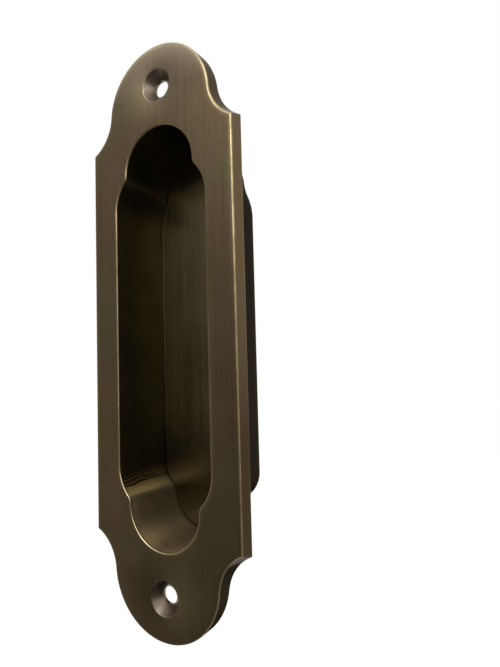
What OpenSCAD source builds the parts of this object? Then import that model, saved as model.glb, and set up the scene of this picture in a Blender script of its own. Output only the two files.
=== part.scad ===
// Flush pull for a sliding door: a cast brass faceplate with a hollow back, and behind
// its finger opening a cup brazed up from a bent brass strip and a sheet brass back.
// Sizes are in millimetres. Z runs up the length of the pull, the face looks towards -Y,
// and the origin is midway between the screw holes, on the back of the web they go through.

/* [Faceplate] */
// Height from the top of the upper arch to the foot of the lower one
plate_h = 163; // [150:1:190]
// Width across the straight sides
plate_w = 49; // [46:0.5:60]
// Depth of the edge, from the face to the door
plate_t = 5; // [4.5:0.5:8]
// Radius of the round arch at each end
arch_r = 17.6; // [15:0.2:21]
// Distance of the crisp side corners below the centre of the arch, at the face
corner_drop = 8.8; // [7:0.2:11]
// How much further out along the length the corners lie at the door than at the face
corner_flare = 1.7; // [0:0.1:3]
// Radius of the hollow curve that runs from a corner up into the arch
shoulder_r = 12; // [9:0.5:18]
// Radius of the rubbed arris between the face and the edge
arris_r = 0.5; // [0.2:0.1:1]
// Thickness of the metal behind the face, inside the rim
web_t = 3.3; // [2.5:0.1:4]
// Width of the rim round the hollow back, which is what meets the door
rim_w = 3; // [2:0.5:4]

/* [Finger opening] */
// Width between the straight sides
open_w = 31.4; // [28:0.2:33]
// Height from arch to arch
open_h = 116.4; // [106:0.2:122]
// Radius of the arch at each end
open_arch_r = 11.7; // [10:0.1:13]
// Radius of the rounded hip that ends each straight side
open_hip_r = 11.5; // [8:0.5:13]
// Radius of the tight neck between a hip and the arch
open_neck_r = 3.2; // [3:0.1:8]
// Distance of a hip's centre below the centre of its arch
open_hip_drop = 9.9; // [8:0.1:11]

/* [Screw holes] */
// Distance between the two screws
screw_spacing = 140; // [136:0.5:144]
// Diameter of the clearance hole for the screw
screw_bore = 4.6; // [3.6:0.1:5.4]
// Diameter of the countersink at the face
countersink_d = 9.5; // [7.5:0.1:10.5]
// Included angle of the countersink
countersink_angle = 90; // [80:1:100]

/* [Surround] */
// Width of the brass strip, which is the depth of the cup behind the web
strip_w = 19; // [14:0.5:26]
// Thickness of the brass strip
strip_t = 1.8; // [1.2:0.1:2.1]
// Radius of the upper arch at the rear edge, where the bent shoulders have opened out
rear_top_arch_r = 13.2; // [12:0.1:14]
// Radius of the upper hips at the rear edge
rear_top_hip_r = 15; // [11:0.5:15]
// Radius of the upper necks at the rear edge
rear_top_neck_r = 16; // [10:0.5:24]
// Distance of an upper hip's centre below the centre of its arch, at the rear edge
rear_top_hip_drop = 9.4; // [8:0.1:11]
// How much lower the top of the cup lies at the rear edge than at the face
rear_top_fall = 1.3; // [0:0.1:2.5]
// Radius of the lower arch at the rear edge
rear_foot_arch_r = 12; // [11:0.1:13.5]
// Radius of the lower hips at the rear edge
rear_foot_hip_r = 6.5; // [5:0.5:11]
// Radius of the lower necks at the rear edge
rear_foot_neck_r = 3.2; // [3:0.1:12]
// Distance of a lower hip's centre above the centre of its arch, at the rear edge
rear_foot_hip_drop = 6.5; // [6:0.1:9]

/* [Back plate] */
// Thickness of the sheet brass back
back_t = 1.5; // [1:0.1:2.5]
// Distance from the rear edge of the surround in to the back of the sheet
back_inset = 0.8; // [0.6:0.1:1.5]
// Open seam between the sheet and the surround
seam = 0.15; // [0.1:0.05:0.5]
// Radius of the sheet's front arris, rounded when the blank was cut
back_arris_r = 0.5; // [0.2:0.1:0.8]

/* [Brazing] */
// Leg of the bead that joins the surround to the web
front_bead = 1; // [0.6:0.1:1.3]
// Leg of the bead that holds the sheet in the surround
rear_bead = 0.7; // [0.4:0.1:1]
// Gap left between a bead and the strip it wets
bead_gap = 0.05; // [0.02:0.01:0.1]

/* [Hidden] */

face_y = -web_t;
web_back_y = 0;
door_y = face_y + plate_t;
strip_rear_y = web_back_y + strip_w;
sheet_rear_y = strip_rear_y - back_inset;
sheet_front_y = sheet_rear_y - back_t;

plate_half = plate_w / 2;
open_half = open_w / 2;

// Steps along an arch, a shoulder of the faceplate, a bend of the cup, and a rounded arris
arch_steps = 16;
shoulder_steps = 10;
bend_steps = 7;
arris_steps = 4;
// Sides used for a true circle, and how far a cut runs past the surface it opens
circle_fn = 96;
overcut = 1;

// An end of a cup outline: arch radius, hip radius, neck radius, hip drop, height of the arch's top
front_end = [open_arch_r, open_hip_r, open_neck_r, open_hip_drop, open_h / 2];
rear_top_end = [rear_top_arch_r, rear_top_hip_r, rear_top_neck_r, rear_top_hip_drop,
    open_h / 2 - rear_top_fall];
rear_foot_end = [rear_foot_arch_r, rear_foot_hip_r, rear_foot_neck_r, rear_foot_hip_drop, open_h / 2];

// Centre of a circle at distance ra from point a and rb from point b, on the outer side of the outline
function reach(a, ra, b, rb) =
    let (d = norm(b - a), u = (b - a) / d, k = (ra * ra - rb * rb + d * d) / (2 * d))
    a + k * u + sqrt(max(0, ra * ra - k * k)) * [-u[1], u[0]];

function bearing(from, to) = atan2(to[1] - from[1], to[0] - from[0]);

function arc(centre, r, start, end, steps) =
    [for (i = [0 : steps]) centre + r * [cos(start + (end - start) * i / steps),
                                         sin(start + (end - start) * i / steps)]];

function tail(list) = [for (i = [1 : len(list) - 1]) list[i]];
function reversed(list) = [for (i = [len(list) - 1 : -1 : 0]) list[i]];
function scaled_xz(list, sx, sz) = [for (p = list) [p[0] * sx, p[1] * sz]];

// The three centres of an end: arch, hip and neck
function arch_centre(end) = [0, end[4] - end[0]];
function hip_centre(end) = [open_half - end[1], end[4] - end[0] - end[3]];
function neck_centre(end) = reach(arch_centre(end), end[0] + end[2], hip_centre(end), end[1] + end[2]);

// One quarter of a cup outline, from the top of the arch to the foot of the hip, grown outwards
function quarter(end, grow) =
    let (a = arch_centre(end), h = hip_centre(end), n = neck_centre(end),
         arch_end = bearing(a, n), neck_end = bearing(n, h) + 360)
    concat(arc(a, end[0] + grow, 90, arch_end, arch_steps),
           tail(arc(n, end[2] - grow, arch_end + 180, neck_end, bend_steps)),
           tail(arc(h, end[1] + grow, neck_end - 180, 0, bend_steps)));

// A closed outline, clockwise from the top as seen from the face, from its upper and lower right quarters
function closed(top, foot) =
    concat(top, reversed(scaled_xz(foot, 1, -1)), tail(scaled_xz(foot, -1, -1)),
           reversed(tail(scaled_xz(top, -1, 1))));

function outline(top, foot, grow) = closed(quarter(top, grow), quarter(foot, grow));

// The cup outline at depth y, part of the way from the opening's shape to the rear edge's shape
function cup_ring(y, grow) =
    let (share = (y - web_back_y) / strip_w,
         front = outline(front_end, front_end, grow),
         rear = outline(rear_top_end, rear_foot_end, grow))
    [for (i = [0 : len(front) - 1])
        let (p = front[i] * (1 - share) + rear[i] * share) [p[0], y, p[1]]];

// One quarter of the faceplate's outline, drawn in by inset: arch, hollow shoulder, crisp corner drop below
// the centre of the arch
function plate_quarter(drop, inset) =
    let (a = [0, plate_h / 2 - arch_r],
         h = reach(a, arch_r + shoulder_r, a + [plate_half, -drop], shoulder_r),
         r = shoulder_r + inset, side = plate_half - inset,
         corner = [side, h[1] - sqrt(r * r - (h[0] - side) * (h[0] - side))], turn = bearing(a, h))
    concat(arc(a, arch_r - inset, 90, turn, arch_steps),
           tail(arc(h, r, turn + 180, bearing(h, corner) + 360, shoulder_steps)));

// The faceplate's outline at depth y, where the shoulders open out from the face to the door
function plate_ring(y, inset) =
    let (q = plate_quarter(corner_drop - corner_flare * (y - face_y) / plate_t, inset))
    [for (p = closed(q, q)) [p[0], y, p[1]]];

// Depth and draw-in of step i of a rounded arris, from the side to the front
function rounded_y(front, r, i) = front + r * (1 - sin(90 * i / arris_steps));
function rounded_inset(r, i) = r * (1 - cos(90 * i / arris_steps));

// Faces of a skin that joins each ring of n points to the next, from ring first to ring last
function skin(n, first, last, count) =
    [for (k = [first : last], i = [0 : n - 1], half = [0, 1])
        let (a = k * n + i, b = k * n + (i + 1) % n,
             c = ((k + 1) % count) * n + (i + 1) % n, d = ((k + 1) % count) * n + i)
        half == 0 ? [a, b, c] : [a, c, d]];

// A closed band that runs all round: the rings are the corners of its section, in order
module band(rings) {
    n = len(rings[0]);
    count = len(rings);
    polyhedron(points = [for (ring = rings) each ring], faces = skin(n, 0, count - 1, count));
}

// A solid disc of rings stacked from rear to front, closed flat at both ends
module stack(rings) {
    n = len(rings[0]);
    count = len(rings);
    polyhedron(points = [for (ring = rings) each ring],
        faces = concat(skin(n, 0, count - 2, count),
                       [[for (i = [n - 1 : -1 : 0]) i]],
                       [[for (i = [0 : n - 1]) (count - 1) * n + i]]));
}

// A flat shape drawn in X and Z, given depth from y0 to y1
module slab(y0, y1) {
    translate([0, y1, 0]) rotate([90, 0, 0]) linear_extrude(y1 - y0) children();
}

module mirrored_ends() {
    for (side = [0, 1]) mirror([0, side]) children();
}

module mirrored_sides() {
    for (side = [0, 1]) mirror([side, 0]) children();
}

// The cut for the finger opening: a slot with rounded hips that draws in through tight necks to an arch
module opening_block(y0, y1) {
    arch = arch_centre(front_end);
    hip = hip_centre(front_end);
    neck = neck_centre(front_end);
    slab(y0, y1) square([open_w, 2 * hip[1]], center = true);
    slab(y0, y1) square([2 * hip[0], 2 * arch[1]], center = true);
    slab(y0, y1) mirrored_ends() translate(arch) circle(open_arch_r, $fn = circle_fn);
    slab(y0, y1) mirrored_ends() mirrored_sides() translate(hip) circle(open_hip_r, $fn = circle_fn);
    slab(y0, y1) mirrored_ends() mirrored_sides() difference() {
        polygon([arch, hip, neck]);
        translate(neck) circle(open_neck_r, $fn = circle_fn);
    }
}

// A countersunk hole for a wood screw, cut from the face through to the hollow back
module screw_hole() {
    bore_r = screw_bore / 2;
    sink_r = countersink_d / 2;
    slope = tan(countersink_angle / 2);
    sink_depth = (sink_r - bore_r) / slope;
    translate([0, face_y, 0]) rotate([-90, 0, 0]) {
        translate([0, 0, -overcut]) cylinder(h = plate_t + 2 * overcut, r = bore_r, $fn = circle_fn);
        translate([0, 0, -overcut]) cylinder(h = sink_depth + overcut, r1 = sink_r + overcut * slope,
            r2 = bore_r, $fn = circle_fn);
    }
}

// Cast faceplate: a skin from the floor of its hollow back over the rim and the flared edge to the rounded
// arris, pierced by the finger opening and two screw holes
module faceplate() {
    color("#75694f") difference() {
        stack(concat(
            [plate_ring(web_back_y, rim_w), plate_ring(door_y, rim_w), plate_ring(door_y, 0)],
            [for (i = [0 : arris_steps])
                plate_ring(rounded_y(face_y, arris_r, i), rounded_inset(arris_r, i))]));
        opening_block(face_y - overcut, door_y + overcut);
        for (end = [-1, 1]) translate([0, 0, end * screw_spacing / 2]) screw_hole();
    }
}

// Side wall of the cup: one brass strip bent to the opening's outline and brazed on edge to the web
module surround() {
    color("#574d36") band([
        cup_ring(web_back_y, 0),
        cup_ring(strip_rear_y, 0),
        cup_ring(strip_rear_y, strip_t),
        cup_ring(web_back_y, strip_t)]);
}

// The back plate's outline at depth y, drawn in by inset for its rounded arris
function blank_ring(y, inset) = [for (p = cup_ring(sheet_front_y, -seam - inset)) [p[0], y, p[2]]];

// Floor of the cup: a sheet brass blank that drops into the surround from behind
module back_plate() {
    color("#70654a") stack(concat(
        [blank_ring(sheet_rear_y, 0)],
        [for (i = [0 : arris_steps])
            blank_ring(rounded_y(sheet_front_y, back_arris_r, i), rounded_inset(back_arris_r, i))]));
}

// Bead of filler metal round the foot of the surround, in the hollow of the faceplate
module front_braze() {
    near = strip_t + bead_gap;
    color("#8c7a48") band([
        cup_ring(web_back_y, near),
        cup_ring(web_back_y + front_bead, near),
        cup_ring(web_back_y, near + front_bead)]);
}

// Bead of filler metal in the corner between the sheet and the strip, seen only from behind
module rear_braze() {
    color("#8c7a48") band([
        cup_ring(sheet_rear_y, -bead_gap),
        cup_ring(sheet_rear_y, -bead_gap - rear_bead),
        cup_ring(sheet_rear_y + rear_bead, -bead_gap)]);
}

faceplate();
surround();
back_plate();
front_braze();
rear_braze();
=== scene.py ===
import math

import bmesh
import bpy
from mathutils import Matrix, Vector


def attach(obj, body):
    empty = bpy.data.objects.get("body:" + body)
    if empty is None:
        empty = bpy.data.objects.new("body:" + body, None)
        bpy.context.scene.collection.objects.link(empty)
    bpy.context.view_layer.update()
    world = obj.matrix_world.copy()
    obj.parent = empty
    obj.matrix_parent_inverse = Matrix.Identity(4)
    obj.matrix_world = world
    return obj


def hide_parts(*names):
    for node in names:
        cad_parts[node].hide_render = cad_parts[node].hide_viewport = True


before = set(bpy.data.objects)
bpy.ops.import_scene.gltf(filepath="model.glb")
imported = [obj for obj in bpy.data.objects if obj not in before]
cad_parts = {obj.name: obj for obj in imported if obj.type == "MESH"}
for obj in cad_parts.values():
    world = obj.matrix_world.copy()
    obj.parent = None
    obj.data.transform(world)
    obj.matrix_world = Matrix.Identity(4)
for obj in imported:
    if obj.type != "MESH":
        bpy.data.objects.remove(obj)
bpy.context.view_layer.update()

# Faceplate: one brass casting with a hollow back, its face brushed up and down, dipped
# dark and rubbed back until the arrises show gold. It is fixed to the door through two
# countersunk holes, one in each arch. Sizes are in millimetres until a piece is finished.

plate_height = 163.0
plate_width = 49.0
plate_depth = 5.0
end_arch_r = 17.6
corner_drop = 8.8
corner_flare = 1.7
hollow_r = 12.0
corner_r = 0.5
least_corner_r = 0.02
web = 3.3
rim_width = 3.0
opening_width = 31.4
opening_height = 116.4
arch_r = 11.7
hip_r = 11.5
neck_r = 3.2
hip_drop = 9.9
screw_spacing = 140.0
bore_r = 2.3
sink_r = 4.75
arris_r = 0.5
rim_arris_r = 0.45
back_arris_r = 0.25
rubbed_width = 1.0
least_rub = 0.12
crown_wear_and_highlight_from = 66.0
crown_wear_and_highlight_over = 15.0
crown_rub_and_highlight = 0.7
back_rub = 0.8
mouth_rub = 0.62
mouth_grip_below = 10.0
mouth_grip = 0.028
even_margin = 0.3
back_margin = 0.2
sink_rim = 0.12
face_y = -web
web_back_y = 0.0
door_y = face_y + plate_depth
arch_steps = 28
hollow_steps = 12
corner_steps = 4
opening_arch_steps = 24
neck_steps = 8
hip_steps = 12
back_arris_steps = 3
hole_steps = 64
metres = 0.001
same_point = 0.001


def reach(a, from_a, b, from_b):
    """The outer point at distance from_a from a and from_b from b; points are across and up."""
    span = b - a
    d = span.length
    along = (from_a**2 - from_b**2 + d * d) / (2 * d)
    away = math.sqrt(max(0.0, from_a**2 - along**2))
    u = span / d
    return a + along * u + away * Vector((-u.y, u.x))


def bearing(a, b):
    """Clockwise angle of b from a, in degrees from straight up, as seen from the face."""
    return math.degrees(math.atan2(b.x - a.x, b.y - a.y))


def bend(bm, vert, centre, end, steps):
    """Carries the chain of edges on from vert, round centre, to the bearing of the point end."""
    here = Vector((vert.co.x, vert.co.z))
    turn = (bearing(centre, end) - bearing(centre, here) + 180) % 360 - 180
    made = bmesh.ops.spin(
        bm,
        geom=[vert],
        cent=(centre.x, vert.co.y, centre.y),
        axis=(0, 1, 0),
        angle=math.radians(turn),
        steps=steps,
    )
    return next(v for v in made["geom_last"] if isinstance(v, bmesh.types.BMVert))


def closed_loop(bm, before, axes):
    """Mirrors the chain that isn't in before, and gives all the edges of the loop it makes."""
    for axis in axes:
        chain = [e for e in bm.edges if e not in before]
        verts = list({v for e in chain for v in e.verts})
        bmesh.ops.mirror(bm, geom=verts + chain, merge_dist=same_point, axis=axis)
    return [e for e in bm.edges if e not in before]


def plate_loop(bm, y, inset):
    """The faceplate's outline at depth y, drawn in by inset; its shoulders open out towards the door."""
    before = set(bm.edges)
    arch = Vector((0.0, plate_height / 2 - end_arch_r))
    corner = Vector((plate_width / 2, arch.y - corner_drop + corner_flare * (y - face_y) / plate_depth))
    hollow = reach(arch, end_arch_r + hollow_r, corner, hollow_r)
    side = plate_width / 2 - inset
    round_r = max(corner_r - inset, least_corner_r)
    nose_x = side - round_r
    out = hollow_r + inset + round_r
    nose = Vector((nose_x, hollow.y - math.sqrt(out**2 - (hollow.x - nose_x) ** 2)))
    top = bmesh.ops.create_vert(bm, co=(0, y, plate_height / 2 - inset))["vert"][0]
    last = bend(bm, top, arch, hollow, arch_steps)
    last = bend(bm, last, hollow, nose, hollow_steps)
    last = bend(bm, last, nose, nose + Vector((1, 0)), corner_steps)
    foot = bmesh.ops.create_vert(bm, co=(side, y, 0))["vert"][0]
    bm.edges.new((last, foot))
    return closed_loop(bm, before, "XZ")


def opening_end(bm, y, grow, end):
    """A quarter of the opening's outline: arch, neck, hip, and half a straight side.

    An end is its height, the radii of its arch, hip and neck, and the hip's drop below the arch.
    """
    height, arch_radius, hip_radius, neck_radius, drop = end
    arch = Vector((0.0, height - arch_radius))
    hip = Vector((opening_width / 2 - hip_radius, arch.y - drop))
    neck = reach(arch, arch_radius + neck_radius, hip, hip_radius + neck_radius)
    top = bmesh.ops.create_vert(bm, co=(0, y, height + grow))["vert"][0]
    last = bend(bm, top, arch, neck, opening_arch_steps)
    last = bend(bm, last, neck, hip, neck_steps)
    last = bend(bm, last, hip, hip + Vector((1, 0)), hip_steps)
    foot = bmesh.ops.create_vert(bm, co=(opening_width / 2 + grow, y, 0))["vert"][0]
    bm.edges.new((last, foot))


front_end = (opening_height / 2, arch_r, hip_r, neck_r, hip_drop)


def opening_loop(bm, y, grow):
    """The outline of the finger opening at depth y, grown outwards by grow."""
    before = set(bm.edges)
    opening_end(bm, y, grow, front_end)
    return closed_loop(bm, before, "XZ")


def screw_loop(bm, y, radius, z):
    """The edge of a screw hole at depth y."""
    turned = Matrix.Translation((0, y, z)) @ Matrix.Rotation(math.radians(90), 4, "X")
    ring = bmesh.ops.create_circle(bm, cap_ends=False, radius=radius, segments=hole_steps, matrix=turned)
    return list({e for v in ring["verts"] for e in v.link_edges})


def skin(bm, loops):
    """Joins each loop to the next one with a band of faces."""
    for a, b in zip(loops, loops[1:]):
        bmesh.ops.bridge_loops(bm, edges=a + b)


def rounded(radius, steps=6):
    """Depth, draw-in and rub of each step of a rounded arris, from the face to the side."""
    turns = [math.radians(90 * i / steps) for i in range(steps + 1)]
    made = []
    for t in turns:
        rub = least_rub + (1 - least_rub) * math.sin(2 * t)
        made.append((radius * (1 - math.cos(t)), radius * (1 - math.sin(t)), rub))
    return made


def paint(loop, layer, value):
    """Writes value on a point layer all round a loop."""
    for e in loop:
        for v in e.verts:
            v[layer] = value


def finish_piece(bm, name, nodes, crease=35):
    """Turns the faces outwards, shades them smooth up to crease degrees, and puts the piece on the root."""
    bmesh.ops.recalc_face_normals(bm, faces=bm.faces[:])
    for e in bm.edges:
        e.smooth = len(e.link_faces) != 2 or e.calc_face_angle(0) < math.radians(crease)
    for f in bm.faces:
        f.smooth = True
    bmesh.ops.scale(bm, vec=(metres, metres, metres), verts=bm.verts[:])
    mesh = bpy.data.meshes.new(name)
    bm.to_mesh(mesh)
    bm.free()
    piece = bpy.data.objects.new(name, mesh)
    bpy.context.scene.collection.objects.link(piece)
    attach(piece, "root")
    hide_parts(*nodes)
    return piece


bm = bmesh.new()
arris = bm.verts.layers.float.new("arris")
flank = bm.verts.layers.float.new("flank")
sink = bm.verts.layers.float.new("sink")
throat = bm.verts.layers.float.new("throat")

side = [plate_loop(bm, face_y, arris_r + rubbed_width)]
for depth, inset, rub in rounded(arris_r):
    side.append(plate_loop(bm, face_y + depth, inset))
    paint(side[-1], arris, rub)
    paint(side[-1], flank, depth / arris_r)
for y in (face_y + arris_r + even_margin, door_y - back_arris_r - back_margin):
    side.append(plate_loop(bm, y, 0))
    paint(side[-1], flank, 1.0)
for depth, inset, rub in reversed(rounded(back_arris_r, back_arris_steps)):
    side.append(plate_loop(bm, door_y - depth, inset))
    paint(side[-1], arris, back_rub * rub)
    paint(side[-1], flank, 1.0)
skin(bm, side)
# The crown's left half is painted pale a little way on to the face: wear, and a painted highlight where the
# rolled arris catches light
for v in {v for e in side[1] for v in e.verts if v.co.x < 2 and v.co.z > crown_wear_and_highlight_from}:
    v[arris] = least_rub + crown_rub_and_highlight * (v.co.z - crown_wear_and_highlight_from) / crown_wear_and_highlight_over

hollow = [plate_loop(bm, door_y, rim_width), plate_loop(bm, web_back_y, rim_width)]
skin(bm, hollow)
bmesh.ops.triangle_fill(bm, use_beauty=True, edges=side[-1] + hollow[0], normal=(0, 1, 0))

mouth = [opening_loop(bm, face_y, rim_arris_r + rubbed_width)]
for depth, inset, rub in rounded(rim_arris_r):
    mouth.append(opening_loop(bm, face_y + depth, inset))
    # Fingers pull hardest at the lower end
    for v in {v for e in mouth[-1] for v in e.verts}:
        v[arris] = rub * (mouth_rub + mouth_grip * max(0.0, mouth_grip_below - v.co.z))
for y in (face_y + rim_arris_r + even_margin, web_back_y):
    mouth.append(opening_loop(bm, y, 0))
    paint(mouth[-1], throat, 1.0)
skin(bm, mouth)

face_edges = side[0] + mouth[0]
back_edges = hollow[-1] + mouth[-1]
for z in (-screw_spacing / 2, screw_spacing / 2):
    cone = []
    # Depth, radius, rub and bareness, from the face through the cone and the bore
    for depth, radius, rub, bare in (
        (0, sink_r + sink_rim, 0, 0),
        (0.04, sink_r, 0.7, 0.5),
        (0.14, sink_r - 0.1, 0, 1),
        (sink_r - bore_r - 0.05, bore_r + 0.05, 0, 1),
        (sink_r - bore_r + 0.08, bore_r, 0, 0),
        (web, bore_r, 0, 0),
    ):
        cone.append(screw_loop(bm, face_y + depth, radius, z))
        paint(cone[-1], arris, rub)
        paint(cone[-1], sink, bare)
    skin(bm, cone)
    face_edges += cone[0]
    back_edges += cone[-1]
bmesh.ops.triangle_fill(bm, use_beauty=True, edges=face_edges, normal=(0, -1, 0))
bmesh.ops.triangle_fill(bm, use_beauty=True, edges=back_edges, normal=(0, 1, 0))
faceplate = finish_piece(bm, "brass_faceplate", ["faceplate"])


def linear(code):
    """A colour written as sRGB hex, turned linear for a shader socket."""
    parts = [int(code[i : i + 2], 16) / 255 for i in (1, 3, 5)]
    return [p / 12.92 if p <= 0.04045 else ((p + 0.055) / 1.055) ** 2.4 for p in parts] + [1.0]


# Socket numbers of a colour mix, and of a range that is mapped to other values
cover, under, over, mixed = 0, 6, 7, 2
start, full, at_start, at_full = 1, 2, 3, 4


def add(tree, kind, inputs=None, **settings):
    """Adds a node with its settings, and sets or links its inputs."""
    node = tree.nodes.new(kind)
    for name, value in settings.items():
        setattr(node, name, value)
    for socket, value in (inputs or {}).items():
        if isinstance(value, bpy.types.NodeSocket):
            tree.links.new(value, node.inputs[socket])
        else:
            node.inputs[socket].default_value = value
    return node


def lining(tree, where):
    """Colour and creases of the recess wall, alike on casting and strip: dark, with painted shade in the
    creases, and gold low down, partly wear and partly painted highlight.
    """
    clouds = add(
        tree, "ShaderNodeTexNoise", {"Vector": where, "Scale": 1 / 0.009, "Detail": 4.0, "Roughness": 0.6}
    )
    tone = add(tree, "ShaderNodeMapRange", {"Value": clouds.outputs["Fac"], start: 0.3, full: 0.7})
    patina = add(
        tree,
        "ShaderNodeMix",
        {cover: tone.outputs[0], under: linear("#585139"), over: linear("#69614A")},
        data_type="RGBA",
    )
    # The ridge of the upper left cusp is painted pale: a painted highlight
    apart = add(tree, "ShaderNodeSeparateXYZ", {0: where})
    above = add(tree, "ShaderNodeMath", {0: apart.outputs["Z"], 1: 0.0450}, operation="SUBTRACT")
    away = add(tree, "ShaderNodeMath", {0: above.outputs[0]}, operation="ABSOLUTE")
    ridge = add(tree, "ShaderNodeMapRange", {"Value": away.outputs[0], start: 0.0015, full: 0.0001})
    inward = add(
        tree,
        "ShaderNodeMapRange",
        {"Value": apart.outputs["Y"], start: 0.013, full: -0.002, at_start: 0.0, at_full: 0.6},
    )
    leftward = add(tree, "ShaderNodeMapRange", {"Value": apart.outputs["X"], start: 0.0, full: -0.001})
    ridge_highlight = add(tree, "ShaderNodeMath", {0: ridge.outputs[0], 1: inward.outputs[0]}, operation="MULTIPLY")
    ridge_highlight = add(tree, "ShaderNodeMath", {0: ridge_highlight.outputs[0], 1: leftward.outputs[0]}, operation="MULTIPLY")
    ridge_highlighted = add(
        tree,
        "ShaderNodeMix",
        {cover: ridge_highlight.outputs[0], under: patina.outputs[mixed], over: linear("#C8B58A")},
        data_type="RGBA",
    )
    # Creases run in from the rim beside the lower left shoulder, 0.95 mm apart over 3.3 mm
    wander = add(tree, "ShaderNodeTexNoise", {"Vector": where, "Scale": 1 / 0.005, "Detail": 2.0})
    drift = add(
        tree, "ShaderNodeMath", {0: wander.outputs["Fac"], 1: -0.0012, 2: -0.0386}, operation="MULTIPLY_ADD"
    )
    below = add(tree, "ShaderNodeMath", {0: drift.outputs[0], 1: apart.outputs["Z"]}, operation="SUBTRACT")
    passed = add(tree, "ShaderNodeMath", {0: below.outputs[0], 1: 1 / 0.0033}, operation="MULTIPLY")
    turns = add(tree, "ShaderNodeMath", {0: passed.outputs[0], 1: 2 * math.pi * 3.5}, operation="MULTIPLY")
    wave = add(tree, "ShaderNodeMath", {0: turns.outputs[0]}, operation="SINE")
    sharp = add(tree, "ShaderNodeMapRange", {"Value": wave.outputs[0], start: 0.2, full: 0.95})
    first = add(tree, "ShaderNodeMapRange", {"Value": passed.outputs[0], start: 0.0, full: 0.1})
    last = add(tree, "ShaderNodeMapRange", {"Value": passed.outputs[0], start: 1.1, full: 1.0})
    on_left = add(tree, "ShaderNodeMapRange", {"Value": apart.outputs["X"], start: -0.0128, full: -0.0135})
    fading = add(tree, "ShaderNodeMapRange", {"Value": apart.outputs["Y"], start: 0.0167, full: 0.0047})
    crease = add(tree, "ShaderNodeMath", {0: first.outputs[0], 1: last.outputs[0]}, operation="MULTIPLY")
    for mask in (on_left, fading, sharp):
        crease = add(
            tree, "ShaderNodeMath", {0: crease.outputs[0], 1: mask.outputs[0]}, operation="MULTIPLY"
        )
    # Gold on the shoulder below them, rubbed and with a painted highlight that is brightest at its lower
    # edge, and brown grey round the arch, with a painted sheen added to its wear
    between = add(
        tree,
        "ShaderNodeMapRange",
        {"Value": passed.outputs[0], start: 0.0, full: 0.5, at_start: 0.0, at_full: 0.4},
    )
    touched_and_lit = add(
        tree,
        "ShaderNodeMapRange",
        {"Value": passed.outputs[0], start: 0.98, full: 1.06, at_start: 0.0, at_full: 0.85},
    )
    touched_and_lit = add(
        tree, "ShaderNodeMath", {0: touched_and_lit.outputs[0], 1: between.outputs[0]}, operation="MAXIMUM"
    )
    highlight_to_edge = add(tree, "ShaderNodeMapRange", {"Value": apart.outputs["Z"], start: -0.0420, full: -0.0458})
    gold_and_highlight = add(
        tree,
        "ShaderNodeMix",
        {cover: highlight_to_edge.outputs[0], under: linear("#C2AE80"), over: linear("#F0E2BC")},
        data_type="RGBA",
    )
    on_arch = add(tree, "ShaderNodeMapRange", {"Value": apart.outputs["Z"], start: -0.0460, full: -0.0464})
    polished_and_sheen = add(
        tree,
        "ShaderNodeMix",
        {cover: on_arch.outputs[0], under: gold_and_highlight.outputs[mixed], over: linear("#EEDCB8")},
        data_type="RGBA",
    )
    wear_and_painted_light = add(
        tree,
        "ShaderNodeMix",
        {cover: touched_and_lit.outputs[0], under: ridge_highlighted.outputs[mixed], over: polished_and_sheen.outputs[mixed]},
        data_type="RGBA",
    )
    # The creases are painted dark: painted shade in them
    crease_shaded = add(
        tree,
        "ShaderNodeMix",
        {cover: crease.outputs[0], under: wear_and_painted_light.outputs[mixed], over: linear("#120E08")},
        data_type="RGBA",
    )
    return crease_shaded.outputs[mixed], crease.outputs[0]


def new_finish(name):
    """A material with an empty node tree, and that tree."""
    finish = bpy.data.materials.new(name)
    finish.use_nodes = True
    finish.node_tree.nodes.clear()
    return finish, finish.node_tree


# Aged cast brass: copper-zinc metal under a thin olive-brown bath patina. Brushing leaves
# soft upright lines, the bath leaves clouds that lean to olive or to brown, and handling
# wears the arrises through to pale gold, most of all on the upper half; the lower arrises are also painted
# dimmer as painted shade.
cast, t = new_finish("aged_cast_brass")
where = add(t, "ShaderNodeTexCoord").outputs["Object"]
# Clouds of the bath, about 12 mm across, and its turns of hue, about 25 mm across
clouds = add(
    t, "ShaderNodeTexNoise", {"Vector": where, "Scale": 1 / 0.012, "Detail": 4.0, "Roughness": 0.6}
)
hues = add(t, "ShaderNodeTexNoise", {"Vector": where, "Scale": 1 / 0.025, "Detail": 2.0})
# Brush lines, 0.6 mm apart and 30 mm long; real ones are finer than a pixel here
brush_map = add(t, "ShaderNodeMapping", {"Vector": where, "Scale": (1 / 0.0006, 1 / 0.0006, 1 / 0.03)})
brush = add(
    t, "ShaderNodeTexNoise", {"Vector": brush_map.outputs[0], "Scale": 1.0, "Detail": 3.0, "Roughness": 0.6}
)
# Casting grain, 0.4 mm
grain = add(t, "ShaderNodeTexNoise", {"Vector": where, "Scale": 1 / 0.0004, "Detail": 2.0})
# Pinholes where bare metal shows, one every few millimetres
dots = add(t, "ShaderNodeTexVoronoi", {"Vector": where, "Scale": 1 / 0.0045, "Randomness": 1.0})
dot = add(
    t,
    "ShaderNodeMapRange",
    {"Value": dots.outputs["Distance"], start: 0.03, full: 0.05, at_start: 1.0, at_full: 0.0},
)
rare = add(
    t,
    "ShaderNodeMapRange",
    {"Value": clouds.outputs["Fac"], start: 0.5, full: 0.56, at_start: 0.0, at_full: 0.35},
)
speck = add(t, "ShaderNodeMath", {0: dot.outputs[0], 1: rare.outputs[0]}, operation="MULTIPLY")
hue = add(t, "ShaderNodeMapRange", {"Value": hues.outputs["Fac"], start: 0.4, full: 0.6})
bath = add(
    t,
    "ShaderNodeMix",
    {cover: hue.outputs[0], under: linear("#6E654A"), over: linear("#725E47")},
    data_type="RGBA",
)
tone = add(
    t,
    "ShaderNodeMapRange",
    {"Value": clouds.outputs["Fac"], start: 0.35, full: 0.7, at_start: 0.0, at_full: 0.38},
)
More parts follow.
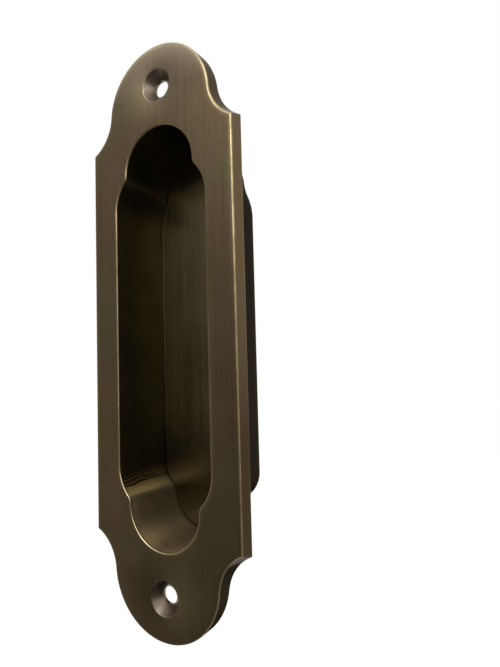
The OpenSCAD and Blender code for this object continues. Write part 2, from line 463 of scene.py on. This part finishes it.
patina = add(
    t,
    "ShaderNodeMix",
    {cover: tone.outputs[0], under: bath.outputs[mixed], over: linear("#7F725B")},
    data_type="RGBA",
)
stroke = add(
    t,
    "ShaderNodeMapRange",
    {"Value": brush.outputs["Fac"], start: 0.35, full: 0.65, at_start: 0.0, at_full: 0.15},
)
streaky = add(
    t,
    "ShaderNodeMix",
    {cover: stroke.outputs[0], under: patina.outputs[mixed], over: linear("#8A7C64")},
    data_type="RGBA",
)
# The crown is painted paler and greyer than the rest: partly wear, partly a painted highlight
apart = add(t, "ShaderNodeSeparateXYZ", {0: where})
crown_wear_and_sheen = add(
    t,
    "ShaderNodeMapRange",
    {"Value": apart.outputs["Z"], start: 0.068, full: 0.081, at_start: 0.0, at_full: 0.8},
)
brushed = add(
    t,
    "ShaderNodeMix",
    {cover: crown_wear_and_sheen.outputs[0], under: streaky.outputs[mixed], over: linear("#AB9D87")},
    data_type="RGBA",
)
on_flank = add(t, "ShaderNodeAttribute", attribute_name="flank")
flank_share = add(t, "ShaderNodeMath", {0: on_flank.outputs["Fac"], 1: 0.95}, operation="MULTIPLY")
# Round the arches the flank was out of the brush's reach and is still black from the bath
far = add(t, "ShaderNodeMath", {0: apart.outputs["Z"]}, operation="ABSOLUTE")
bent = add(t, "ShaderNodeMapRange", {"Value": far.outputs[0], start: 0.0560, full: 0.0590})
# Blacker towards the lower arch: painted shade
blacker_low = add(
    t,
    "ShaderNodeMapRange",
    {"Value": apart.outputs["Z"], start: -0.05, full: 0.05, at_start: 0.95, at_full: 0.6},
)
black = add(t, "ShaderNodeMath", {0: bent.outputs[0], 1: blacker_low.outputs[0]}, operation="MULTIPLY")
# The flank is painted darker towards the foot: painted shade
upper_flank = add(t, "ShaderNodeMapRange", {"Value": apart.outputs["Z"], start: -0.03, full: 0.02})
flank_shaded_low = add(
    t,
    "ShaderNodeMix",
    {cover: upper_flank.outputs[0], under: linear("#3E2D0C"), over: linear("#5D4825")},
    data_type="RGBA",
)
rubbed_side = add(
    t,
    "ShaderNodeMix",
    {cover: black.outputs[0], under: flank_shaded_low.outputs[mixed], over: linear("#3E382C")},
    data_type="RGBA",
)
edge = add(
    t,
    "ShaderNodeMix",
    {cover: flank_share.outputs[0], under: brushed.outputs[mixed], over: rubbed_side.outputs[mixed]},
    data_type="RGBA",
)
in_sink = add(t, "ShaderNodeAttribute", attribute_name="sink")
upper = add(t, "ShaderNodeMapRange", {"Value": apart.outputs["Z"], start: -0.01, full: 0.01})
cone_tone = add(
    t,
    "ShaderNodeMix",
    {cover: upper.outputs[0], under: linear("#6A5F54"), over: linear("#837869")},
    data_type="RGBA",
)
sunk = add(
    t,
    "ShaderNodeMix",
    {cover: in_sink.outputs["Fac"], under: edge.outputs[mixed], over: cone_tone.outputs[mixed]},
    data_type="RGBA",
)
in_throat = add(t, "ShaderNodeAttribute", attribute_name="throat")
wall_colour, wall_crease = lining(t, where)
lined = add(
    t,
    "ShaderNodeMix",
    {cover: in_throat.outputs["Fac"], under: sunk.outputs[mixed], over: wall_colour},
    data_type="RGBA",
)
on_arris = add(t, "ShaderNodeAttribute", attribute_name="arris")
uneven = add(t, "ShaderNodeTexNoise", {"Vector": where, "Scale": 1 / 0.005, "Detail": 3.0})
patchy = add(
    t,
    "ShaderNodeMapRange",
    {"Value": uneven.outputs["Fac"], start: 0.35, full: 0.65, at_start: 0.55, at_full: 1.0},
)
# Arrises are painted dimmer towards the foot: partly wear, partly painted shade on the lower ones
wear_and_painted_light = add(
    t,
    "ShaderNodeMapRange",
    {"Value": apart.outputs["Z"], start: -0.078, full: 0.04, at_start: 0.24, at_full: 0.78},
)
worn = add(t, "ShaderNodeMath", {0: patchy.outputs[0], 1: wear_and_painted_light.outputs[0]}, operation="MULTIPLY")
rub_and_light = add(t, "ShaderNodeMath", {0: on_arris.outputs["Fac"], 1: worn.outputs[0]}, operation="MULTIPLY")
bare = add(t, "ShaderNodeMath", {0: rub_and_light.outputs[0], 1: speck.outputs[0]}, operation="MAXIMUM")
colour = add(
    t,
    "ShaderNodeMix",
    {cover: bare.outputs[0], under: lined.outputs[mixed], over: linear("#DCC79A")},
    data_type="RGBA",
)
dull = add(
    t,
    "ShaderNodeMapRange",
    {"Value": brush.outputs["Fac"], start: 0.3, full: 0.7, at_start: 0.38, at_full: 0.44},
)
polish = add(t, "ShaderNodeMath", {0: bare.outputs[0], 1: -0.12}, operation="MULTIPLY")
rough = add(t, "ShaderNodeMath", {0: dull.outputs[0], 1: polish.outputs[0]}, operation="ADD")
lines = add(t, "ShaderNodeBump", {"Height": brush.outputs["Fac"], "Strength": 0.06, "Distance": 0.00008})
pits = add(
    t,
    "ShaderNodeBump",
    {"Height": grain.outputs["Fac"], "Normal": lines.outputs[0], "Strength": 0.08, "Distance": 0.00005},
)
# The black crust is matt. It is half as thick on the lower sides, and elsewhere metal shows
thin = add(t, "ShaderNodeMath", {0: upper_flank.outputs[0], 1: -0.45, 2: 0.45}, operation="MULTIPLY_ADD")
crusty = add(t, "ShaderNodeMath", {0: black.outputs[0], 1: thin.outputs[0]}, operation="MAXIMUM")
crust = add(t, "ShaderNodeMath", {0: crusty.outputs[0], 1: on_flank.outputs["Fac"]}, operation="MULTIPLY")
metallic = add(
    t, "ShaderNodeMapRange", {"Value": crust.outputs[0], start: 0.0, full: 0.9, at_start: 1.0, at_full: 0.0}
)
gloss = add(
    t, "ShaderNodeMapRange", {"Value": crust.outputs[0], start: 0.0, full: 0.4, at_start: 0.5, at_full: 0.0}
)
wall_folds = add(t, "ShaderNodeMath", {0: wall_crease, 1: in_throat.outputs["Fac"]}, operation="MULTIPLY")
folds = add(
    t,
    "ShaderNodeBump",
    {"Height": wall_folds.outputs[0], "Normal": pits.outputs[0], "Strength": 0.8, "Distance": 0.0003},
    invert=True,
)
metal = add(
    t,
    "ShaderNodeBsdfPrincipled",
    {
        "Base Color": colour.outputs[mixed],
        "Metallic": metallic.outputs[0],
        "Specular IOR Level": gloss.outputs[0],
        "Roughness": rough.outputs[0],
        "Normal": folds.outputs[0],
    },
)
add(t, "ShaderNodeOutputMaterial", {"Surface": metal.outputs[0]})
faceplate.data.materials.append(cast)

# Surround: the side wall of the cup, a brass strip bent to the opening's outline and
# brazed on edge to the back of the faceplate. Its shoulders open out towards the rear, and
# the bender left creases beside the lower left one.

strip_width = 19.0
strip_thickness = 1.8
rear_top_drop = 1.3
rear_top_end = (opening_height / 2 - rear_top_drop, 13.2, 15.0, 16.0, 9.4)
rear_foot_end = (opening_height / 2, 12.0, 6.5, 3.2, 6.5)
strip_rear_y = web_back_y + strip_width
strip_arris_r = 0.3
strip_arris_steps = 4
strip_rub = 0.5
strip_rings = 10


def around(loop):
    """The points of a loop in order, clockwise from its top."""
    ways = {}
    for e in loop:
        for v in e.verts:
            ways.setdefault(v, []).append(e.other_vert(v))
    top = max(ways, key=lambda v: v.co.z)
    order = [top, max(ways[top], key=lambda v: v.co.x)]
    while len(order) < len(ways):
        a, b = ways[order[-1]]
        order.append(b if a == order[-2] else a)
    return order


def rear_loop(bm, y, grow):
    """The cup's outline at the rear edge of the strip, where its two ends differ."""
    before = set(bm.edges)
    seen = set(bm.verts)
    opening_end(bm, y, grow, rear_foot_end)
    low = [v for v in bm.verts if v not in seen]
    bmesh.ops.scale(bm, vec=(1, 1, -1), verts=low)
    opening_end(bm, y, grow, rear_top_end)
    bmesh.ops.remove_doubles(bm, verts=[v for v in bm.verts if v not in seen], dist=same_point)
    return closed_loop(bm, before, "X")


def cup_loop(bm, y, grow, shape_y=None):
    """The cup's outline at depth y, where each point runs straight from the front outline to the rear one.

    The outline that belongs at shape_y, if given, is drawn at y instead.
    """
    share = ((y if shape_y is None else shape_y) - web_back_y) / strip_width
    loop = opening_loop(bm, y, grow)
    rear = around(rear_loop(bm, y, grow))
    for front_vert, rear_vert in zip(around(loop), rear):
        front_vert.co = front_vert.co.lerp(rear_vert.co, share)
    bmesh.ops.delete(bm, geom=rear, context="VERTS")
    return loop


bm = bmesh.new()
arris = bm.verts.layers.float.new("arris")
outer = bm.verts.layers.float.new("outer")
wall = [cup_loop(bm, web_back_y + strip_width * i / strip_rings, 0) for i in range(strip_rings)]
strip_arris = rounded(strip_arris_r, strip_arris_steps)
for depth, inset, rub in reversed(strip_arris):
    wall.append(cup_loop(bm, strip_rear_y - depth, inset))
    paint(wall[-1], arris, strip_rub * rub)
for depth, inset, rub in strip_arris:
    wall.append(cup_loop(bm, strip_rear_y - depth, strip_thickness - inset))
    paint(wall[-1], arris, strip_rub * rub)
    paint(wall[-1], outer, depth / strip_arris_r)
for i in range(1, strip_rings + 1):
    wall.append(cup_loop(bm, strip_rear_y - strip_width * i / strip_rings, strip_thickness))
    paint(wall[-1], outer, 1.0)
skin(bm, wall + wall[:1])
surround = finish_piece(bm, "bent_strip_surround", ["surround"])

# Bath-darkened strip brass: rolled, so smoother than the casting, with drawing lines along
# its length and crease lines where the bend was forced, painted dark as shade. Fingers have rubbed it
# golden below them, and a painted highlight adds to that gold; the outside keeps the black of the bath and
# the torch.
strip, t = new_finish("dark_strip_brass")
where = add(t, "ShaderNodeTexCoord").outputs["Object"]
# Drawing lines, 0.5 mm apart across the strip
drawn_map = add(t, "ShaderNodeMapping", {"Vector": where, "Scale": (1 / 0.006, 1 / 0.0005, 1 / 0.02)})
drawn = add(t, "ShaderNodeTexNoise", {"Vector": drawn_map.outputs[0], "Scale": 1.0, "Detail": 2.0})
wall_colour, wall_crease = lining(t, where)
outside = add(t, "ShaderNodeAttribute", attribute_name="outer")
blacked = add(
    t,
    "ShaderNodeMix",
    {cover: outside.outputs["Fac"], under: wall_colour, over: linear("#38322A")},
    data_type="RGBA",
)
on_arris = add(t, "ShaderNodeAttribute", attribute_name="arris")
colour = add(
    t,
    "ShaderNodeMix",
    {cover: on_arris.outputs["Fac"], under: blacked.outputs[mixed], over: linear("#A8925F")},
    data_type="RGBA",
)
dull = add(
    t,
    "ShaderNodeMapRange",
    {"Value": drawn.outputs["Fac"], start: 0.3, full: 0.7, at_start: 0.34, at_full: 0.42},
)
lines = add(t, "ShaderNodeBump", {"Height": drawn.outputs["Fac"], "Strength": 0.1, "Distance": 0.00008})
folds = add(
    t,
    "ShaderNodeBump",
    {"Height": wall_crease, "Normal": lines.outputs[0], "Strength": 0.8, "Distance": 0.0003},
    invert=True,
)
# Outside, the crust of the bath and the torch is matt
metallic = add(t, "ShaderNodeMath", {0: outside.outputs["Fac"], 1: -1.0, 2: 1.0}, operation="MULTIPLY_ADD")
gloss = add(t, "ShaderNodeMath", {0: outside.outputs["Fac"], 1: -0.5, 2: 0.5}, operation="MULTIPLY_ADD")
metal = add(
    t,
    "ShaderNodeBsdfPrincipled",
    {
        "Base Color": colour.outputs[mixed],
        "Metallic": metallic.outputs[0],
        "Specular IOR Level": gloss.outputs[0],
        "Roughness": dull.outputs[0],
        "Normal": folds.outputs[0],
    },
)
add(t, "ShaderNodeOutputMaterial", {"Surface": metal.outputs[0]})
surround.data.materials.append(strip)

# Back plate: the floor of the cup, a sheet brass blank dropped in from behind. Its front
# arris was rounded in the press and its upper part is painted as a pale line, a painted highlight; an open
# seam runs round it.

sheet_thickness = 1.5
sheet_recess = 0.8
seam = 0.15
sheet_arris_r = 0.5
sheet_rear_y = strip_rear_y - sheet_recess
sheet_front_y = sheet_rear_y - sheet_thickness

bm = bmesh.new()
arris = bm.verts.layers.float.new("arris")
blank = []
for depth, inset, rub in rounded(sheet_arris_r):
    blank.append(cup_loop(bm, sheet_front_y + depth, -seam - inset, sheet_front_y))
    paint(blank[-1], arris, rub - least_rub)
blank.append(cup_loop(bm, sheet_rear_y, -seam, sheet_front_y))
skin(bm, blank)
bmesh.ops.triangle_fill(bm, use_beauty=True, edges=blank[0], normal=(0, -1, 0))
bmesh.ops.triangle_fill(bm, use_beauty=True, edges=blank[-1], normal=(0, 1, 0))
back_plate = finish_piece(bm, "sheet_back_plate", ["back_plate"])

# Bath-darkened sheet brass: cold rolled and satin, with faint upright rolling lines and
# broad clouds, a painted highlight on its rounded arris and painted shade in its lower end.
sheet, t = new_finish("satin_sheet_brass")
where = add(t, "ShaderNodeTexCoord").outputs["Object"]
clouds = add(t, "ShaderNodeTexNoise", {"Vector": where, "Scale": 1 / 0.016, "Detail": 3.0})
# Rolling lines, 0.8 mm apart
rolled_map = add(t, "ShaderNodeMapping", {"Vector": where, "Scale": (1 / 0.0008, 1 / 0.0008, 1 / 0.04)})
rolled = add(t, "ShaderNodeTexNoise", {"Vector": rolled_map.outputs[0], "Scale": 1.0, "Detail": 2.0})
tone = add(t, "ShaderNodeMapRange", {"Value": clouds.outputs["Fac"], start: 0.3, full: 0.7})
patina = add(
    t,
    "ShaderNodeMix",
    {cover: tone.outputs[0], under: linear("#6C6147"), over: linear("#7B6F53")},
    data_type="RGBA",
)
stroke = add(
    t,
    "ShaderNodeMapRange",
    {"Value": rolled.outputs["Fac"], start: 0.35, full: 0.65, at_start: 0.0, at_full: 0.3},
)
streaked = add(
    t,
    "ShaderNodeMix",
    {cover: stroke.outputs[0], under: patina.outputs[mixed], over: linear("#867A5E")},
    data_type="RGBA",
)
# Painted shade: the lower end is painted dark at the front of the sheet
apart = add(t, "ShaderNodeSeparateXYZ", {0: where})
painted_shade_low = add(
    t,
    "ShaderNodeMapRange",
    {"Value": apart.outputs["Z"], start: -0.022, full: -0.046, at_start: 0.0, at_full: 0.94},
)
frontward = add(t, "ShaderNodeMapRange", {"Value": apart.outputs["Y"], start: 0.0178, full: 0.0172})
darkening = add(t, "ShaderNodeMath", {0: painted_shade_low.outputs[0], 1: frontward.outputs[0]}, operation="MULTIPLY")
shaded_sheet = add(
    t,
    "ShaderNodeMix",
    {cover: darkening.outputs[0], under: streaked.outputs[mixed], over: linear("#1E1A12")},
    data_type="RGBA",
)
on_arris = add(t, "ShaderNodeAttribute", attribute_name="arris")
# The arris is painted pale as a painted highlight, fading out towards the lower end
highlight_above = add(
    t,
    "ShaderNodeMapRange",
    {"Value": apart.outputs["Z"], start: -0.035, full: 0.01, at_start: 0.0, at_full: 1.0},
)
rub_and_light = add(t, "ShaderNodeMath", {0: on_arris.outputs["Fac"], 1: highlight_above.outputs[0]}, operation="MULTIPLY")
# Polish has dried along the arris and takes its mirror away
dried = add(t, "ShaderNodeMath", {0: rub_and_light.outputs[0], 1: -0.8, 2: 1.0}, operation="MULTIPLY_ADD")
colour = add(
    t,
    "ShaderNodeMix",
    {cover: rub_and_light.outputs[0], under: shaded_sheet.outputs[mixed], over: linear("#E8DAB4")},
    data_type="RGBA",
)
dull = add(
    t,
    "ShaderNodeMapRange",
    {"Value": rolled.outputs["Fac"], start: 0.3, full: 0.7, at_start: 0.36, at_full: 0.46},
)
lines = add(t, "ShaderNodeBump", {"Height": rolled.outputs["Fac"], "Strength": 0.08, "Distance": 0.00008})
metal = add(
    t,
    "ShaderNodeBsdfPrincipled",
    {
        "Base Color": colour.outputs[mixed],
        "Metallic": dried.outputs[0],
        "Roughness": dull.outputs[0],
        "Normal": lines.outputs[0],
    },
)
add(t, "ShaderNodeOutputMaterial", {"Surface": metal.outputs[0]})
back_plate.data.materials.append(sheet)

# Two beads of filler metal, hidden from the front: one joins the strip to the faceplate,
# the other holds the back plate in. Brazing leaves them pale, lumpy and dull.

front_leg = 1.0
rear_leg = 0.7
bead_gap = 0.05
bead_steps = 5

filler, t = new_finish("brazing_filler")
where = add(t, "ShaderNodeTexCoord").outputs["Object"]
lumps = add(t, "ShaderNodeTexNoise", {"Vector": where, "Scale": 1 / 0.0015, "Detail": 3.0})
darkening = add(t, "ShaderNodeTexNoise", {"Vector": where, "Scale": 1 / 0.007, "Detail": 4.0})
scorched = add(t, "ShaderNodeMapRange", {"Value": darkening.outputs["Fac"], start: 0.4, full: 0.62})
colour = add(
    t,
    "ShaderNodeMix",
    {cover: scorched.outputs[0], under: linear("#A58F58"), over: linear("#5B4C33")},
    data_type="RGBA",
)
dull = add(
    t,
    "ShaderNodeMapRange",
    {"Value": lumps.outputs["Fac"], start: 0.3, full: 0.7, at_start: 0.42, at_full: 0.62},
)
lumpy = add(t, "ShaderNodeBump", {"Height": lumps.outputs["Fac"], "Strength": 0.5, "Distance": 0.0003})
metal = add(
    t,
    "ShaderNodeBsdfPrincipled",
    {
        "Base Color": colour.outputs[mixed],
        "Metallic": 1.0,
        "Roughness": dull.outputs[0],
        "Normal": lumpy.outputs[0],
    },
)
add(t, "ShaderNodeOutputMaterial", {"Surface": metal.outputs[0]})

front_wall = strip_thickness + bead_gap
for name, node, foot_y, tip_y, wall_grow, leg in (
    ("front_filler_bead", "front_braze", web_back_y, web_back_y + front_leg, front_wall, front_leg),
    ("rear_filler_bead", "rear_braze", sheet_rear_y, sheet_rear_y + rear_leg, -bead_gap, -rear_leg),
):
    bm = bmesh.new()
    # The corner, up the strip, then a hollow skin down to the toe on the sheet
    section = [cup_loop(bm, foot_y, wall_grow), cup_loop(bm, tip_y, wall_grow)]
    for i in range(1, bead_steps):
        turn = math.radians(90 * i / bead_steps)
        out = wall_grow + leg * (1 - math.cos(turn))
        section.append(cup_loop(bm, foot_y + (tip_y - foot_y) * (1 - math.sin(turn)), out))
    section.append(cup_loop(bm, foot_y, wall_grow + leg))
    skin(bm, section + section[:1])
    bead = finish_piece(bm, name, [node])
    bead.data.materials.append(filler)

# Floor: plain paper well below the pull, from just in front of it backwards. It keeps the
# shadow, and what the camera or metal sees of it is lifted to nearly white.

floor_half = 3.0
floor_y = 2.98
floor_z = -0.2

bm = bmesh.new()
floor_place = Matrix.Translation((0, floor_y, floor_z))
bmesh.ops.create_grid(bm, x_segments=1, y_segments=1, size=floor_half, matrix=floor_place)
mesh = bpy.data.meshes.new("floor")
bm.to_mesh(mesh)
bm.free()
floor = bpy.data.objects.new("floor", mesh)
bpy.context.scene.collection.objects.link(floor)
paper, t = new_finish("pale_paper")
ray = add(t, "ShaderNodeLightPath")
mirrored = add(
    t,
    "ShaderNodeMath",
    {0: ray.outputs["Is Glossy Ray"], 1: ray.outputs["Is Transmission Ray"]},
    operation="MAXIMUM",
)
seen = add(
    t, "ShaderNodeMath", {0: ray.outputs["Is Camera Ray"], 1: mirrored.outputs[0]}, operation="MAXIMUM"
)
lift = add(t, "ShaderNodeMath", {0: seen.outputs[0], 1: 0.83}, operation="MULTIPLY")
matt = add(t, "ShaderNodeBsdfDiffuse", {"Color": linear("#8B8883")})
glow = add(t, "ShaderNodeEmission", {"Color": linear("#FFFFFF"), "Strength": lift.outputs[0]})
both = add(t, "ShaderNodeAddShader", {0: matt.outputs[0], 1: glow.outputs[0]})
add(t, "ShaderNodeOutputMaterial", {"Surface": both.outputs[0]})
floor.data.materials.append(paper)

# Studio: a white wall for the camera, a pale ceiling and a dark floor in front, which the
# face mirrors from pale at the top to dark at the foot. A dark screen stands straight in
# front, and a pale table at the left.

world = bpy.data.worlds.new("studio")
bpy.context.scene.world = world
world.use_nodes = True
t = world.node_tree
t.nodes.clear()
way = add(t, "ShaderNodeTexCoord").outputs["Generated"]
axes = add(t, "ShaderNodeSeparateXYZ", {0: way})
low = add(t, "ShaderNodeMapRange", {"Value": axes.outputs["Z"], start: -0.65, full: 0.2})
high = add(t, "ShaderNodeMapRange", {"Value": axes.outputs["Z"], start: 0.44, full: 0.70})
room = add(
    t,
    "ShaderNodeMix",
    {cover: low.outputs[0], under: linear("#625E59"), over: linear("#A29F98")},
    data_type="RGBA",
)
ceiling = add(
    t,
    "ShaderNodeMix",
    {cover: high.outputs[0], under: room.outputs[mixed], over: linear("#FBFDFF")},
    data_type="RGBA",
)
leftward = add(
    t,
    "ShaderNodeMapRange",
    {"Value": axes.outputs["X"], start: -0.58, full: -0.78, at_start: 0.0, at_full: 0.45},
)
lowered = add(t, "ShaderNodeMapRange", {"Value": axes.outputs["Z"], start: 0.25, full: 0.0})
table = add(t, "ShaderNodeMath", {0: leftward.outputs[0], 1: lowered.outputs[0]}, operation="MULTIPLY")
tabled = add(
    t,
    "ShaderNodeMix",
    {cover: table.outputs[0], under: ceiling.outputs[mixed], over: linear("#DDD4C6")},
    data_type="RGBA",
)
screen = add(
    t,
    "ShaderNodeMapRange",
    {"Value": axes.outputs["Y"], start: -0.67, full: -0.92, at_start: 0.0, at_full: 0.75},
)
dimmed = add(
    t,
    "ShaderNodeMix",
    {cover: screen.outputs[0], under: tabled.outputs[mixed], over: linear("#1C1A18")},
    data_type="RGBA",
)
# The white wall behind the pull shows to the camera, and in metal that faces it
ray = add(t, "ShaderNodeLightPath")
mirrored = add(
    t,
    "ShaderNodeMath",
    {0: ray.outputs["Is Glossy Ray"], 1: ray.outputs["Is Transmission Ray"]},
    operation="MAXIMUM",
)
behind = add(t, "ShaderNodeMapRange", {"Value": axes.outputs["Y"], start: 0.0, full: 0.3})
walled = add(t, "ShaderNodeMath", {0: mirrored.outputs[0], 1: behind.outputs[0]}, operation="MULTIPLY")
seen = add(
    t, "ShaderNodeMath", {0: ray.outputs["Is Camera Ray"], 1: walled.outputs[0]}, operation="MAXIMUM"
)
shown = add(
    t,
    "ShaderNodeMix",
    {cover: seen.outputs[0], under: dimmed.outputs[mixed], over: linear("#FFFFFF")},
    data_type="RGBA",
)
sky = add(t, "ShaderNodeBackground", {"Color": shown.outputs[mixed], "Strength": 1.0})
add(t, "ShaderNodeOutputWorld", {"Surface": sky.outputs[0]})

# Lights: a softbox above and in front, which the cup's floor throws on to the lower shoulder
# and which picks out the arrises that face up, and a narrow window at the right for the
# arrises and cone sides that turn towards it. Both face the pull.

for name, width, height, watts, stand in (
    ("softbox", 0.4, 0.25, 2.0, Vector((0.05, -0.52, 0.4))),
    ("window", 0.18, 0.45, 0.9, Vector((0.5, -0.42, 0.24))),
):
    light = bpy.data.lights.new(name, "AREA")
    light.shape = "RECTANGLE"
    light.size = width
    light.size_y = height
    light.energy = watts
    lamp = bpy.data.objects.new(name, light)
    lamp.matrix_world = Matrix.Translation(stand) @ stand.to_track_quat("Z", "Y").to_matrix().to_4x4()
    bpy.context.scene.collection.objects.link(lamp)

# Camera: it stands to the right of the pull and a little below its middle, as in the photo.

photo_width = 500
photo_height = 667
eye = Vector((0.089508, -0.108228, -0.008483))
yaw, pitch, roll = 0.5276432618, 0.0588484646, -0.0270968446
ahead = Vector((math.sin(-yaw) * math.cos(pitch), math.cos(yaw) * math.cos(pitch), math.sin(pitch)))
right = ahead.cross(Vector((0, 0, 1))).normalized()
down = ahead.cross(right)
across = math.cos(roll) * right - math.sin(roll) * down
below = math.sin(roll) * right + math.cos(roll) * down
facing = Matrix((across, -below, -ahead)).transposed().to_4x4()
camera = bpy.data.objects.new("camera", bpy.data.cameras.new("camera"))
camera.matrix_world = Matrix.Translation(eye) @ facing
camera.data.sensor_width = 36.0
camera.data.lens = camera.data.sensor_width * photo_width / photo_height
camera.data.clip_start = 0.005
bpy.context.scene.collection.objects.link(camera)
bpy.context.scene.camera = camera
bpy.context.scene.view_settings.view_transform = "Standard"
